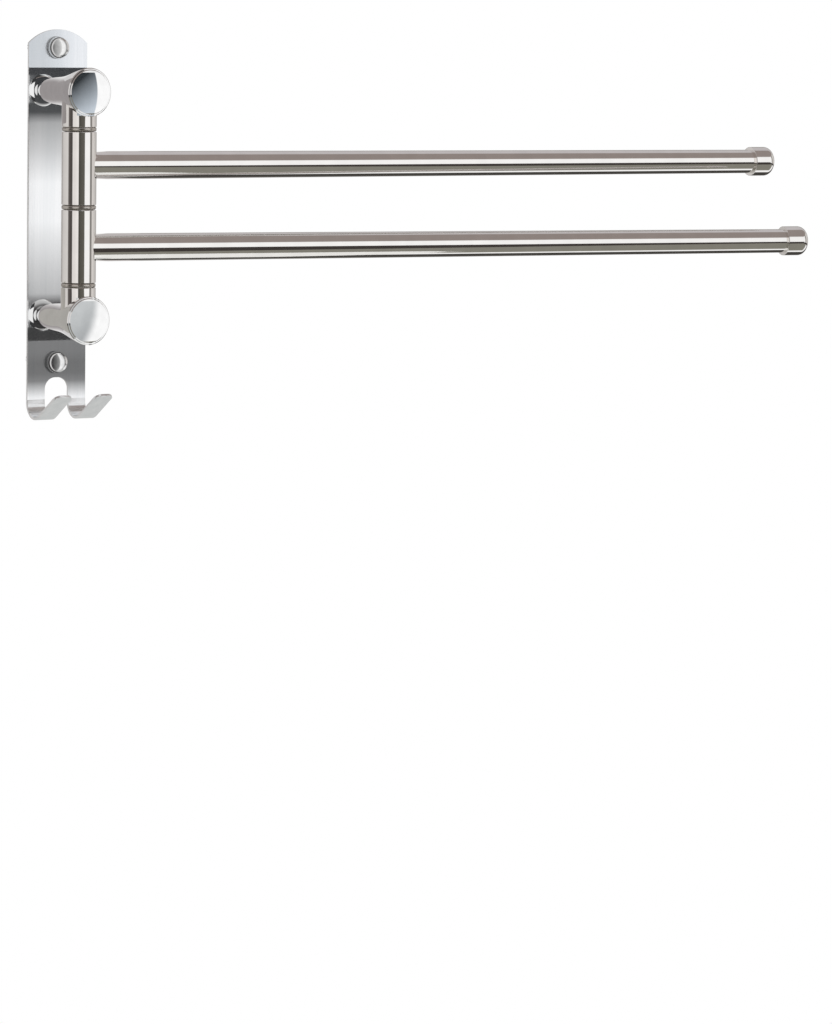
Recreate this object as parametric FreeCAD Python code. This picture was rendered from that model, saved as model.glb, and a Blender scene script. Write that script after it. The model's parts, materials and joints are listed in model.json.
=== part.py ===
import FreeCAD, Part
import math
import os

from FreeCAD import Vector

# Wall-mounted swing arm towel bar, in millimetres.
# The wall is the plane y = 0 and the object stands out of it towards -Y. +Z is up and +X is to the right.
# The origin is on the back face of the plate, on its centre line, midway between the two posts.

# Back plate and its two hooks
plate_width = 38.6
plate_thickness = 1.5
plate_shoulder_z = 92.2
plate_apex_z = 100.0
hook_width = 11.7
hook_bend_z = -115.3
hook_inner_radius = 8.2
hook_rise_angle = 32.8
hook_tongue_length = 24.5
hook_tip_radius = 4.0
notch_top_z = -101.3
notch_corner_radius = 6.8

# Wall fixing: a plug, a screw, a cup washer and a snap-on cover for the screw's head
wall_screw_z = {"upper": 89.5, "lower": -92.5}
wall_hole_radius = 3.25
screw_shank_radius = 2.0
screw_length = 30.0
screw_point = 4.0
screw_head_radius = 3.7
screw_head_cone = 1.7
screw_head_rise = 0.5
drive_slot_width = 0.9
drive_slot_length = 3.6
drive_slot_depth = 1.1
washer_radius = 6.3
washer_thickness = 1.4
washer_edge_round = 0.6
washer_boss_radius = 4.7
washer_boss_height = 1.0
shank_clearance = 0.2
cover_radius = 5.4
cover_skirt = 2.3
cover_rim_step = 0.6
cover_rim_bevel = 0.35
cover_height = 3.9
cover_wall = 0.7
plug_radius = 3.0
plug_length = 30.0
plug_slit_width = 0.8

# Posts, which stand a little to the left of the plate's centre line
post_x = -9.7
post_z = 65.0
post_length = 56.0
post_foot_radius = 5.3
post_end_radius = 13.9
post_bevel = 0.5
post_outline = ((0.17, 7.2), (0.32, 7.9), (0.48, 8.6), (0.65, 10.2), (0.82, 12.2))
foot_ring_radius = 9.2
foot_ring_thickness = 1.8
foot_ring_edge = 0.4
foot_ring_seat_radius = 5.6
post_bolt_radius = 2.5
post_bolt_head_radius = 4.0
post_bolt_reach = 14.5
post_bolt_recess = 0.05
post_bolt_head_clearance = 0.1
post_bolt_socket = 3.0
post_bolt_socket_depth = 1.4

# End caps of the posts
cap_radius = 12.9
cap_skirt = 2.5
cap_bulge = 2.2
cap_wall = 1.2
cap_edge_round = 0.5

# Axle
axle_y = -43.7
axle_radius = 4.0
axle_thread_radius = 3.0
axle_shoulder_z = 57.0
axle_end_z = 66.2
seat_drop = 6.3
pocket_radius = 9.0
pocket_depth_behind_axle = 7.0
nut_across_flats = 10.0
nut_height = 5.0
axle_washer_radius = 6.0
axle_washer_thickness = 1.2

# Barrel, whose middle is a little below the middle of the posts
barrel_z = -0.7
barrel_radius = 10.0
sleeve_wall = 1.5
ring_radius = 9.9
ring_thickness = 2.5
ring_round = 0.9
ring_pitch = 44.5
bush_length = 8.0
running_gap = 0.15
bore_clearance = 0.05
thread_clearance = 0.05

# Swing arms, whose tubes are straight at the barrel and then thin a little towards their caps
upper_arm_z = 23.2
lower_arm_z = -23.7
upper_arm_angle = 3.6
lower_arm_angle = 8.75
arm_reach = 473.3
arm_root_radius = 8.0
arm_root_length = 14.0
arm_end_radius = 7.1
arm_wall = 1.2
arm_cap_radius = 8.8
arm_cap_length = 16.0
arm_cap_round = 5.0
arm_cap_dome = 1.0
arm_cap_rim_round = 0.4
arm_cap_end_wall = 4.0
arm_cap_cavity_dip = 1.0

up = Vector(0, 0, 1)
outward = Vector(0, -1, 0)
into_wall = Vector(0, 1, 0)
plate_front_y = -plate_thickness
post_foot_y = plate_front_y - foot_ring_thickness
post_end_y = -post_length
seat_z = post_z - seat_drop
clear_of_all = 3 * plate_width


def save(name, shape):
    shape.exportStep("parts/" + name + ".step")


def fillet_edges(shape, radius, wanted):
    edges = [edge for edge in shape.Edges if wanted(edge)]
    return shape.makeFillet(radius, edges)


def is_circle_of(radius):
    def wanted(edge):
        curve = edge.Curve
        return isinstance(curve, Part.Circle) and abs(curve.Radius - radius) < 0.01
    return wanted


def tube(radius, bore, start, direction, length):
    outer = Part.makeCylinder(radius, length, start, direction)
    inner = Part.makeCylinder(bore, length + 2, start - direction, direction)
    return outer.cut(inner)


def turned(edges, axis_point, axis):
    """A solid of revolution from a closed outline on one side of its axis."""
    face = Part.Face(Part.Wire(edges))
    return face.revolve(axis_point, axis, 360)


def turned_outline(points, axis_point, axis):
    """A solid of revolution from the corners of a straight-sided outline."""
    return turned([Part.makePolygon(points + [points[0]])], axis_point, axis)


def dome_arc(at, rim_depth, rim_radius, apex_depth):
    """An arc from a rim to an apex on the axis, with its centre on the axis, so that it turns into a sphere."""
    rise = apex_depth - rim_depth
    sphere_radius = (rim_radius ** 2 + rise ** 2) / (2 * rise)
    middle_radius = rim_radius / 2
    middle_drop = sphere_radius - math.sqrt(sphere_radius ** 2 - middle_radius ** 2)
    middle = at(apex_depth - middle_drop, middle_radius)
    return Part.Arc(at(rim_depth, rim_radius), middle, at(apex_depth, 0)).toShape()


# Back plate

def bend_point(angle, radius):
    """A point of the hook's bend in the YZ plane, at an angle from the plate's plane round the bend."""
    turn = math.radians(angle)
    centre_y = -(plate_thickness + hook_inner_radius)
    return Vector(0, centre_y + radius * math.cos(turn), hook_bend_z - radius * math.sin(turn))


def tongue_vector():
    rise = math.radians(hook_rise_angle)
    return Vector(0, -math.cos(rise), math.sin(rise)) * hook_tongue_length


def bent_strip():
    """The sheet seen edge on: straight down the wall, round the bend, and up the tongue."""
    outer_radius = hook_inner_radius + plate_thickness
    end_angle = 90 + hook_rise_angle
    along = tongue_vector()
    outer_end = bend_point(end_angle, outer_radius)
    inner_end = bend_point(end_angle, hook_inner_radius)
    outer_start = bend_point(0, outer_radius)
    inner_start = bend_point(0, hook_inner_radius)
    outer_top = Vector(0, 0, plate_apex_z)
    inner_top = Vector(0, plate_front_y, plate_apex_z)
    edges = [
        Part.makeLine(outer_top, outer_start),
        Part.Arc(outer_start, bend_point(end_angle / 2, outer_radius), outer_end).toShape(),
        Part.makeLine(outer_end, outer_end + along),
        Part.makeLine(outer_end + along, inner_end + along),
        Part.makeLine(inner_end + along, inner_end),
        Part.Arc(inner_end, bend_point(end_angle / 2, hook_inner_radius), inner_start).toShape(),
        Part.makeLine(inner_start, inner_top),
        Part.makeLine(inner_top, outer_top),
    ]
    face = Part.Face(Part.Wire(edges))
    face.translate(Vector(-plate_width / 2, 0, 0))
    return face.extrude(Vector(plate_width, 0, 0))


def arched_outline():
    """A block as wide as the plate, with the plate's arched top."""
    half = plate_width / 2
    front = -clear_of_all
    floor = hook_bend_z - 3 * hook_inner_radius
    left = Vector(-half, front, plate_shoulder_z)
    right = Vector(half, front, plate_shoulder_z)
    apex = Vector(0, front, plate_apex_z)
    low_left = Vector(-half, front, floor)
    low_right = Vector(half, front, floor)
    edges = [
        Part.makeLine(low_left, left),
        Part.Arc(left, apex, right).toShape(),
        Part.makeLine(right, low_right),
        Part.makeLine(low_right, low_left),
    ]
    return Part.Face(Part.Wire(edges)).extrude(Vector(0, 2 * clear_of_all, 0))


def notch():
    """The slot between the two hooks, with a rounded top."""
    half = plate_width / 2 - hook_width
    corner = Vector(-half, -clear_of_all, notch_top_z - clear_of_all)
    block = Part.makeBox(2 * half, 2 * clear_of_all, clear_of_all, corner)

    def top_corner(edge):
        middle = edge.CenterOfMass
        return abs(middle.z - notch_top_z) < 0.01 and abs(abs(middle.x) - half) < 0.01
    return fillet_edges(block, notch_corner_radius, top_corner)


def make_back_plate():
    plate = bent_strip().common(arched_outline()).cut(notch())
    tip = bend_point(90 + hook_rise_angle, hook_inner_radius) + tongue_vector()

    def tip_corner(edge):
        middle = edge.CenterOfMass
        away = middle - Vector(middle.x, tip.y, tip.z)
        return edge.Length < 2 * plate_thickness and away.Length < 2 * plate_thickness
    plate = fillet_edges(plate, hook_tip_radius, tip_corner)
    for screw_z in wall_screw_z.values():
        hole = Part.makeCylinder(wall_hole_radius, 2 * plate_thickness, Vector(0, 0, screw_z), outward)
        plate = plate.cut(hole)
    for centre_z in (post_z, -post_z):
        countersink = Part.makeCone(
            post_bolt_head_radius, post_bolt_radius, plate_thickness, Vector(post_x, 0, centre_z), outward
        )
        plate = plate.cut(countersink)
    save("back_plate", plate)


# Wall fixing

def make_wall_fixing(name, screw_z):
    front = Vector(0, plate_front_y, screw_z)

    def at(height, radius):
        return front + outward * height + Vector(radius, 0, 0)
    boss_top = washer_thickness + washer_boss_height
    seat_foot = boss_top - screw_head_cone
    bore = screw_shank_radius + shank_clearance
    washer = turned_outline([
        at(0, bore),
        at(seat_foot, bore),
        at(seat_foot, screw_shank_radius),
        at(boss_top, screw_head_radius),
        at(boss_top, washer_boss_radius),
        at(washer_thickness, washer_boss_radius),
        at(washer_thickness, washer_radius),
        at(0, washer_radius),
    ], front, outward)

    def front_edge(edge):
        return is_circle_of(washer_radius)(edge) and edge.CenterOfMass.y < plate_front_y - washer_thickness / 2
    save(name + "_screw_washer", fillet_edges(washer, washer_edge_round, front_edge))

    tip = boss_top - screw_length
    edges = [
        Part.makeLine(at(tip, 0), at(tip + screw_point, screw_shank_radius)),
        Part.makeLine(at(tip + screw_point, screw_shank_radius), at(seat_foot, screw_shank_radius)),
        Part.makeLine(at(seat_foot, screw_shank_radius), at(boss_top, screw_head_radius)),
        dome_arc(at, boss_top, screw_head_radius, boss_top + screw_head_rise),
        Part.makeLine(at(boss_top + screw_head_rise, 0), at(tip, 0)),
    ]
    screw = turned(edges, front, outward)
    drive_floor = at(boss_top + screw_head_rise - drive_slot_depth, 0)
    for angle in (0, 90):
        slot = Part.makeBox(drive_slot_length, 2 * drive_slot_depth, drive_slot_width)
        slot.translate(Vector(-drive_slot_length / 2, -2 * drive_slot_depth, -drive_slot_width / 2))
        slot.rotate(Vector(0, 0, 0), outward, angle)
        slot.translate(drive_floor)
        screw = screw.cut(slot)
    save(name + "_wall_screw", screw)

    mouth = Vector(0, 0, screw_z)
    plug = tube(plug_radius, screw_shank_radius + thread_clearance, mouth, into_wall, plug_length)
    slit = Part.makeBox(4 * plug_radius, plug_length, plug_slit_width)
    slit.translate(mouth + Vector(-2 * plug_radius, plug_length / 3, -plug_slit_width / 2))
    save(name + "_wall_plug", plug.cut(slit))


def make_screw_cover(name, screw_z):
    """A hollow domed cover with a stepped rim, pressed over the boss of the cup washer."""
    base = Vector(0, plate_front_y - washer_thickness, screw_z)

    def at(height, radius):
        return base + outward * height + Vector(radius, 0, 0)
    dome_radius = cover_radius - cover_rim_step
    inner_radius = washer_boss_radius
    inner_skirt = cover_skirt - cover_rim_bevel
    edges = [
        Part.makeLine(at(0, inner_radius), at(0, cover_radius)),
        Part.makeLine(at(0, cover_radius), at(cover_skirt - cover_rim_bevel, cover_radius)),
        Part.makeLine(at(cover_skirt - cover_rim_bevel, cover_radius), at(cover_skirt, dome_radius)),
        dome_arc(at, cover_skirt, dome_radius, cover_height),
        Part.makeLine(at(cover_height, 0), at(cover_height - cover_wall, 0)),
        dome_arc(at, inner_skirt, inner_radius, cover_height - cover_wall),
        Part.makeLine(at(inner_skirt, inner_radius), at(0, inner_radius)),
    ]
    save(name + "_screw_cover", turned(edges, base, outward))


# Posts

def post_profile_point(share, radius, centre_z):
    """A point of the post's outline: a share of the way from its foot to its end, at a radius."""
    y = post_foot_y + (post_end_y - post_foot_y) * share
    return Vector(post_x + radius, y, centre_z)


def make_post(name, side):
    centre_z = side * post_z
    axis_point = Vector(post_x, 0, centre_z)
    foot_centre = Vector(post_x, post_foot_y, centre_z)
    end_centre = Vector(post_x, post_end_y, centre_z)
    foot = post_profile_point(0, post_foot_radius, centre_z)
    rim_back = Vector(post_x + post_end_radius, post_end_y + post_bevel, centre_z)
    rim_front = Vector(post_x + post_end_radius - post_bevel, post_end_y, centre_z)
    flare = Part.BSplineCurve()
    middle_points = [post_profile_point(share, radius, centre_z) for share, radius in post_outline]
    flare.interpolate([foot] + middle_points + [rim_back])
    edges = [
        Part.makeLine(foot_centre, foot),
        flare.toShape(),
        Part.makeLine(rim_back, rim_front),
        Part.makeLine(rim_front, end_centre),
        Part.makeLine(end_centre, foot_centre),
    ]
    post = turned(edges, axis_point, outward)

    recess = Part.makeCylinder(cap_radius, 2 * cap_skirt, end_centre - outward * cap_skirt, outward)
    pocket_start = Vector(post_x, axle_y + pocket_depth_behind_axle, centre_z)
    pocket = Part.makeCylinder(pocket_radius, post_length, pocket_start, outward)
    # the pocket has a flat floor on the side of the barrel, where the axle nut sits
    floor_corner = Vector(post_x - clear_of_all / 2, -clear_of_all, 0)
    floor_block = Part.makeBox(clear_of_all, clear_of_all, clear_of_all, floor_corner)
    floor_block.translate(Vector(0, 0, seat_z if side > 0 else -seat_z - clear_of_all))
    pocket = pocket.common(floor_block)
    axle_centre = Vector(post_x, axle_y, 0)
    shoulder_bore = Part.makeCylinder(axle_radius + bore_clearance, axle_shoulder_z, axle_centre, up * side)
    thread_bore = Part.makeCylinder(axle_thread_radius + bore_clearance, post_z, axle_centre, up * side)
    bolt_bore = Part.makeCylinder(
        post_bolt_radius + thread_clearance, post_bolt_reach - foot_ring_thickness, foot_centre, outward
    )
    for hollow in (recess, pocket, shoulder_bore, thread_bore, bolt_bore):
        post = post.cut(hollow)
    save(name + "_post", post)
    return post


def make_post_foot(name, side):
    centre_z = side * post_z
    front = Vector(post_x, plate_front_y, centre_z)

    def at(height, radius):
        return front + outward * height + Vector(radius, 0, 0)
    bore = post_bolt_radius + thread_clearance
    rise = foot_ring_thickness - foot_ring_edge
    run = foot_ring_radius - foot_ring_seat_radius
    round_radius = (run ** 2 + rise ** 2) / (2 * rise)
    turn = math.asin(run / round_radius) / 2
    middle_height = foot_ring_thickness - round_radius * (1 - math.cos(turn))
    middle = at(middle_height, foot_ring_seat_radius + round_radius * math.sin(turn))
    seat_edge = at(foot_ring_thickness, foot_ring_seat_radius)
    edges = [
        Part.makeLine(at(0, bore), at(0, foot_ring_radius)),
        Part.makeLine(at(0, foot_ring_radius), at(foot_ring_edge, foot_ring_radius)),
        Part.Arc(at(foot_ring_edge, foot_ring_radius), middle, seat_edge).toShape(),
        Part.makeLine(seat_edge, at(foot_ring_thickness, bore)),
        Part.makeLine(at(foot_ring_thickness, bore), at(0, bore)),
    ]
    save(name + "_foot_ring", turned(edges, front, outward))

    back = Vector(post_x, -post_bolt_recess, centre_z)
    head_radius = post_bolt_head_radius - post_bolt_head_clearance
    head = Part.makeCone(head_radius, post_bolt_radius, plate_thickness - post_bolt_recess, back, outward)
    shank = Part.makeCylinder(post_bolt_radius, post_bolt_reach, back, outward)
    socket = Part.makeBox(post_bolt_socket, post_bolt_socket_depth, post_bolt_socket)
    socket.translate(back - Vector(post_bolt_socket / 2, post_bolt_socket_depth, post_bolt_socket / 2))
    save(name + "_post_bolt", head.fuse(shank).removeSplitter().cut(socket))


def make_post_cap(name, side):
    """A shallow domed cap of even thickness, whose skirt is pressed into the post's recess."""
    centre = Vector(post_x, post_end_y, side * post_z)

    def at(depth, radius):
        return centre + outward * depth + Vector(radius, 0, 0)
    inner_radius = cap_radius - cap_wall
    inner_rim = cap_edge_round - cap_wall
    edges = [
        Part.makeLine(at(-cap_skirt, cap_radius), at(0, cap_radius)),
        Part.makeLine(at(0, cap_radius), at(cap_edge_round, cap_radius - cap_edge_round)),
        dome_arc(at, cap_edge_round, cap_radius - cap_edge_round, cap_bulge),
        Part.makeLine(at(cap_bulge, 0), at(cap_bulge - cap_wall, 0)),
        dome_arc(at, inner_rim, inner_radius, cap_bulge - cap_wall),
        Part.makeLine(at(inner_rim, inner_radius), at(-cap_skirt, inner_radius)),
        Part.makeLine(at(-cap_skirt, inner_radius), at(-cap_skirt, cap_radius)),
    ]
    save(name + "_post_cap", turned(edges, centre, outward))


# Axle and barrel

def make_axle():
    thread_foot = Vector(post_x, axle_y, -axle_end_z)
    body_foot = Vector(post_x, axle_y, -axle_shoulder_z)
    thread = Part.makeCylinder(axle_thread_radius, 2 * axle_end_z, thread_foot, up)
    body = Part.makeCylinder(axle_radius, 2 * axle_shoulder_z, body_foot, up)
    save("axle_rod", thread.fuse(body).removeSplitter())


def make_axle_nut(name, side):
    washer_start = Vector(post_x, axle_y, side * seat_z)
    bore = axle_thread_radius + thread_clearance
    save(name + "_axle_washer", tube(axle_washer_radius, bore, washer_start, up * side, axle_washer_thickness))

    nut_start = washer_start + up * side * axle_washer_thickness
    corner_radius = nut_across_flats / 2 / math.cos(math.radians(30))
    corners = []
    for step in range(7):
        turn = math.radians(60 * step)
        corners.append(nut_start + Vector(math.cos(turn), math.sin(turn), 0) * corner_radius)
    nut = Part.Face(Part.makePolygon(corners)).extrude(up * nut_height * side)
    thread = Part.makeCylinder(bore, nut_height, nut_start, up * side)
    save(name + "_axle_nut", nut.cut(thread))


def make_end_collar(name, side, post):
    """A short fixed piece of the barrel, whose end is hollowed to sit on the round of the post."""
    start_z = barrel_z + side * (ring_pitch + ring_thickness / 2)
    collar = tube(barrel_radius, axle_radius + bore_clearance,
                  Vector(post_x, axle_y, start_z), up * side, post_z - abs(start_z))
    pieces = collar.cut(post).Solids
    save(name + "_end_collar", min(pieces, key=lambda piece: abs(piece.CenterOfMass.z)))


def make_spacer_ring(name, z):
    ring = tube(ring_radius, axle_radius + bore_clearance,
                Vector(post_x, axle_y, z - ring_thickness / 2), up, ring_thickness)
    save(name + "_spacer_ring", fillet_edges(ring, ring_round, is_circle_of(ring_radius)))


# Swing arms

def make_sleeve(name, low_z, high_z):
    """A segment of the barrel with a bush in each end."""
    sleeve_bore = barrel_radius - sleeve_wall
    bush_bore = axle_radius + bore_clearance
    foot = Vector(post_x, axle_y, low_z)
    save(name + "_sleeve", tube(barrel_radius, sleeve_bore, foot, up, high_z - low_z))
    top_bush_foot = Vector(post_x, axle_y, high_z - bush_length)
    save(name + "_bottom_bush", tube(sleeve_bore, bush_bore, foot, up, bush_length))
    save(name + "_top_bush", tube(sleeve_bore, bush_bore, top_bush_foot, up, bush_length))


def make_arm(name, arm_z, angle):
    """A thinning tube that leaves the sleeve, and a rounded cap pressed over its far end."""
    turn = math.radians(angle)
    along = Vector(math.cos(turn), -math.sin(turn), 0)
    root = Vector(post_x, axle_y, arm_z)
    tube_length = arm_reach - arm_cap_end_wall - arm_cap_cavity_dip

    def at(distance, radius):
        return root + along * distance + up * radius
    bar = turned_outline([
        at(0, arm_root_radius),
        at(arm_root_length, arm_root_radius),
        at(tube_length, arm_end_radius),
        at(tube_length, arm_end_radius - arm_wall),
        at(arm_root_length, arm_root_radius - arm_wall),
        at(0, arm_root_radius - arm_wall),
    ], root, along)
    barrel = Part.makeCylinder(barrel_radius, 4 * arm_root_radius, root - up * 2 * arm_root_radius, up)
    save(name + "_tube", bar.cut(barrel))

    rim = arm_reach - arm_cap_length
    thinning = (arm_root_radius - arm_end_radius) / (tube_length - arm_root_length)
    rim_bore = arm_end_radius + thinning * (tube_length - rim)
    shoulder = arm_reach - arm_cap_round - arm_cap_dome
    diagonal = arm_cap_round * math.sqrt(0.5)
    end_radius = arm_cap_radius - arm_cap_round
    edges = [
        Part.makeLine(at(rim, rim_bore), at(rim, arm_cap_radius - arm_cap_rim_round)),
        Part.makeLine(at(rim, arm_cap_radius - arm_cap_rim_round), at(rim + arm_cap_rim_round, arm_cap_radius)),
        Part.makeLine(at(rim + arm_cap_rim_round, arm_cap_radius), at(shoulder, arm_cap_radius)),
        Part.Arc(at(shoulder, arm_cap_radius),
                 at(shoulder + diagonal, end_radius + diagonal),
                 at(shoulder + arm_cap_round, end_radius)).toShape(),
        dome_arc(at, shoulder + arm_cap_round, end_radius, arm_reach),
        Part.makeLine(at(arm_reach, 0), at(arm_reach - arm_cap_end_wall, 0)),
        Part.makeLine(at(arm_reach - arm_cap_end_wall, 0), at(tube_length, arm_end_radius)),
        Part.makeLine(at(tube_length, arm_end_radius), at(rim, rim_bore)),
    ]
    save(name + "_end_cap", turned(edges, root, along))


os.makedirs("parts", exist_ok=True)
make_back_plate()
for place, side in (("upper", 1), ("lower", -1)):
    make_wall_fixing(place, wall_screw_z[place])
    make_screw_cover(place, wall_screw_z[place])
    post = make_post(place, side)
    make_post_foot(place, side)
    make_post_cap(place, side)
    make_axle_nut(place, side)
    make_end_collar(place, side, post)
make_axle()
for place, steps in (("upper", 1), ("middle", 0), ("lower", -1)):
    make_spacer_ring(place, barrel_z + steps * ring_pitch)
end_gap = ring_thickness / 2 + running_gap
make_sleeve("upper_arm", barrel_z + end_gap, barrel_z + ring_pitch - end_gap)
make_sleeve("lower_arm", barrel_z - ring_pitch + end_gap, barrel_z - end_gap)
make_arm("upper_arm", upper_arm_z, upper_arm_angle)
make_arm("lower_arm", lower_arm_z, lower_arm_angle)
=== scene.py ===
import json
import math

import bmesh
import bpy
import numpy as np
from mathutils import Matrix, Vector


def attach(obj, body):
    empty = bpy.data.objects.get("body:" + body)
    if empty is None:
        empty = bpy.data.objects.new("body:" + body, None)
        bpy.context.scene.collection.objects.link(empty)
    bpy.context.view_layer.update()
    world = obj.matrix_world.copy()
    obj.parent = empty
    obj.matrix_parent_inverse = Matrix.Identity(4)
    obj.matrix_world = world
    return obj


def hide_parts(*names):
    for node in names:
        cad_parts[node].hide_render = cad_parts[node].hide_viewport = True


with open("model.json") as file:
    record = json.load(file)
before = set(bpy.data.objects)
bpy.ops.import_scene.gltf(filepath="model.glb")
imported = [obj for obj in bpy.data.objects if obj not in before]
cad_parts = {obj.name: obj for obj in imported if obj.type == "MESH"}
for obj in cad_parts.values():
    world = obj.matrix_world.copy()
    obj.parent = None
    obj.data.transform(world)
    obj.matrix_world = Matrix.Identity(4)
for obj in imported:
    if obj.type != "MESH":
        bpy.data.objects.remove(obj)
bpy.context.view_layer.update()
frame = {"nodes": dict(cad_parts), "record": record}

# Sizes are in millimetres, and one factor turns them to Blender's metres.
# The wall is the plane y = 0, the object stands out of it towards -Y, and +Z is up.
mm = 0.001
outward = Vector((0, -1, 0))
upward = Vector((0, 0, 1))
near = 0.01  # two places closer than this are the same place


# Helpers for modelling


def deselectAll():
    if bpy.context.object and bpy.context.object.mode != "OBJECT":
        bpy.ops.object.mode_set(mode="OBJECT")
    bpy.ops.object.select_all(action="DESELECT")


# Selects the vertices or edges whose middle, in millimetres, passes a test.
def pick(piece, kind, wanted):
    bpy.ops.mesh.select_mode(type={"verts": "VERT", "edges": "EDGE"}[kind])
    bpy.ops.mesh.select_all(action="DESELECT")
    shape = bmesh.from_edit_mesh(piece.data)
    for part in getattr(shape, kind):
        middle = part.co if kind == "verts" else (part.verts[0].co + part.verts[1].co) / 2
        if wanted(middle / mm):
            part.select_set(True)
    shape.select_flush_mode()
    bmesh.update_edit_mesh(piece.data)


# Extrudes what is selected by a step in millimetres.
def extrude(x, y, z):
    bpy.ops.mesh.extrude_region_move(TRANSFORM_OT_translate={"value": (x * mm, y * mm, z * mm)})


# Names what the last operator made.
def nameIt(name):
    piece = bpy.context.object
    piece.name = name
    piece.data.name = name
    return piece


def applyModifier(piece, kind, **settings):
    deselectAll()
    piece.select_set(True)
    bpy.context.view_layer.objects.active = piece
    modifier = piece.modifiers.new(kind.title(), kind)
    for key, value in settings.items():
        setattr(modifier, key, value)
    bpy.ops.object.modifier_apply(modifier=modifier.name)


# Cuts the cutters' shapes out of a piece and throws the cutters away.
def cutAway(piece, cutters):
    for cutter in cutters:
        applyModifier(piece, "BOOLEAN", object=cutter, operation="DIFFERENCE", solver="EXACT")
    for cutter in cutters:
        bpy.data.objects.remove(cutter)


def smooth(piece, angle):
    deselectAll()
    piece.select_set(True)
    bpy.context.view_layer.objects.active = piece
    bpy.ops.object.shade_smooth_by_angle(angle=math.radians(angle))


# Stands a piece that was made on Z at its foot, along its direction, with the place kept in its mesh.
def placeTurned(piece, foot, direction):
    deselectAll()
    piece.select_set(True)
    bpy.context.view_layer.objects.active = piece
    turn = direction.to_track_quat("Z", "Y").to_matrix().to_4x4()
    piece.matrix_world = Matrix.Translation(foot * mm) @ turn
    bpy.ops.object.transform_apply(location=True, rotation=True, scale=True)


# Points (along, out) of a round stretch of an outline. Angle 0 points straight out, 90 along the axis.
def arc(centre, radius, startAngle, endAngle, steps):
    angles = [startAngle + (endAngle - startAngle) * step / steps for step in range(steps + 1)]
    return [
        (centre[0] + radius * math.sin(math.radians(a)), centre[1] + radius * math.cos(math.radians(a)))
        for a in angles
    ]


# A shallow dome from its rim to its apex on the axis.
def domeArc(rimAlong, rimRadius, apexAlong, steps):
    rise = apexAlong - rimAlong
    sphere = (rimRadius ** 2 + rise ** 2) / (2 * rise)
    startAngle = 90 - math.degrees(math.asin(rimRadius / sphere))
    return arc((apexAlong - sphere, 0), sphere, startAngle, 90, steps)


# Adds a ring close to both ends of each long straight stretch, so that shading stays even along it.
def withHoldingRings(outline, gap=0.12, longest=0.8):
    full = [outline[0]]
    for (a0, r0), (a1, r1) in zip(outline, outline[1:]):
        length = math.hypot(a1 - a0, r1 - r0)
        if length > longest:
            for share in (gap / length, 1 - gap / length):
                full.append((a0 + (a1 - a0) * share, r0 + (r1 - r0) * share))
        full.append((a1, r1))
    return full


# A turned piece: a circle is extruded and scaled ring by ring along its outline of (along, radius) points.
def turnPiece(name, outline, foot, direction, sides=128, closed=False):
    deselectAll()
    points = withHoldingRings(outline)
    along, radius = points[0]
    fill = "NOTHING" if closed else "NGON"
    bpy.ops.mesh.primitive_circle_add(
        vertices=sides, radius=radius * mm, fill_type=fill, location=(0, 0, along * mm)
    )
    piece = nameIt(name)
    bpy.ops.object.transform_apply(location=True, rotation=True, scale=True)
    bpy.ops.object.mode_set(mode="EDIT")
    bpy.ops.mesh.select_mode(type="VERT")
    bpy.ops.mesh.select_all(action="SELECT")
    for nextAlong, nextRadius in points[1:]:
        extrude(0, 0, nextAlong - along)
        if nextRadius > near:
            share = nextRadius / radius
            bpy.ops.transform.resize(value=(share, share, 1), center_override=(0, 0, nextAlong * mm))
        else:
            bpy.ops.mesh.merge(type="CENTER")
        along = nextAlong
        radius = nextRadius
    bpy.ops.mesh.select_all(action="SELECT")
    bpy.ops.mesh.remove_doubles(threshold=1e-7)
    bpy.ops.mesh.normals_make_consistent(inside=False)
    bpy.ops.object.mode_set(mode="OBJECT")
    placeTurned(piece, foot, direction)
    return piece


# Gives a piece its shading and material, and says which body it rides on and which node it replaces.
def finishPiece(piece, body, slot, node, angle=20):
    smooth(piece, angle)
    piece.data.materials.clear()
    piece.data.materials.append(materials[slot])
    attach(piece, body)
    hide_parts(node)


# Helpers for materials


def toLinear(hexColour):
    parts = [int(hexColour[i:i + 2], 16) / 255 for i in (1, 3, 5)]
    linear = [p / 12.92 if p <= 0.04045 else ((p + 0.055) / 1.055) ** 2.4 for p in parts]
    return (*linear, 1.0)


# Adds a node, sets its properties and input values, and links its inputs from other nodes' outputs.
def addNode(tree, kind, settings=None, inputs=None, links=None):
    node = tree.nodes.new(kind)
    for key, value in (settings or {}).items():
        setattr(node, key, value)
    for key, value in (inputs or {}).items():
        node.inputs[key].default_value = value
    for key, source in (links or {}).items():
        tree.links.new(source, node.inputs[key])
    return node


def newMaterial(name):
    material = bpy.data.materials.new(name)
    material.use_nodes = True
    tree = material.node_tree
    return material, tree, tree.nodes["Principled BSDF"]


# Stainless steel sheet, brushed up and down: fine upright lines that spread each reflection sideways.
# The real lines are 0.05 mm apart and are drawn coarser, so that they show. All sizes are in millimetres.
brushedSteel = dict(dark="#eceef0", light="#fafafb", roughness=(0.18, 0.25), anisotropy=1.0,
                    grain=(0.45, 0.45, 60.0), broad=(5.0, 5.0, 120.0), bump=0.02, bumpDepth=0.05)


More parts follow.
